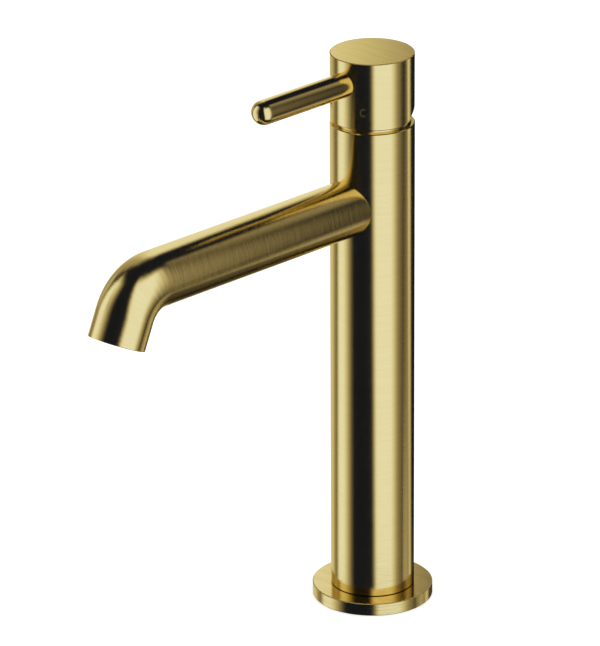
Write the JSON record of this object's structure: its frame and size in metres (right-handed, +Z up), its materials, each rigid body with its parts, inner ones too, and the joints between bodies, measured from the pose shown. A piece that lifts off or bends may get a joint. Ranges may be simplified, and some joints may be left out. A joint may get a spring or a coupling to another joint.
{
  "type": "single-lever basin mixer",
  "caption": "Tall single-lever basin mixer: round column on a base flange, straight spout with a turned-down tip, and a cylindrical handle head with a bar lever.",
  "frame": {"origin": "centre of the base flange's underside, on the deck, on the column's axis", "axes": "+Z up along the column; the spout and the lever at rest point along -Y; +X is the cold side"},
  "size_m": [0.065, 0.2346, 0.3095],
  "materials": {
    "brushed_brass": "brushed",
    "raw_brass": "machined",
    "steel": "machined",
    "black_rubber": "matte",
    "grey_plastic": "moulded",
    "white_plastic": "moulded",
    "red_plastic": "moulded",
    "ceramic": "lapped"
  },
  "bodies": {
    "fixed": {"base_flange": "brushed_brass", "base_seal": "black_rubber", "tie_screws": "steel", "column_tube": "brushed_brass", "valve_block": "raw_brass", "block_seals": "black_rubber", "spout_tube": "brushed_brass", "outlet_sleeve": "brushed_brass", "aerator_washer": "black_rubber", "aerator_cage": "grey_plastic", "aerator_screen": "steel", "aerator_diffuser": "white_plastic", "aerator_grid": "white_plastic", "cartridge_base": "grey_plastic", "port_seals": "black_rubber", "fixed_disc": "ceramic", "cartridge_housing": "grey_plastic", "retaining_nut": "raw_brass", "cover_ring": "brushed_brass"},
    "rotor": {"spindle_guide": "white_plastic", "pivot_pin": "steel", "limiter_ring": "red_plastic"},
    "disc": {"disc_carrier": "white_plastic", "moving_disc": "ceramic"},
    "handle": {"spindle": "raw_brass", "handle_head": "brushed_brass", "lever_bar": "brushed_brass", "clamp_screw": "steel", "screw_plug": "brushed_brass"}
  },
  "joints": [
    {"name": "temperature_turn", "type": "hinge", "parent": "fixed", "child": "rotor", "pos_m": [0, 0, 0.261], "axis": [0, 0, 1], "range_deg": [-45, 45]},
    {"name": "flow_lift", "type": "hinge", "parent": "rotor", "child": "handle", "pos_m": [0, 0, 0.261], "axis": [-1, 0, 0], "range_deg": [0, 25]},
    {"name": "disc_slide", "type": "slide", "parent": "rotor", "child": "disc", "axis": [0, -1, 0], "range_m": [0, 0.00423]}
  ],
  "couplings": [
    {"joint": "disc_slide", "follows": "flow_lift", "m_per_rad": 0.0096857}
  ]
}
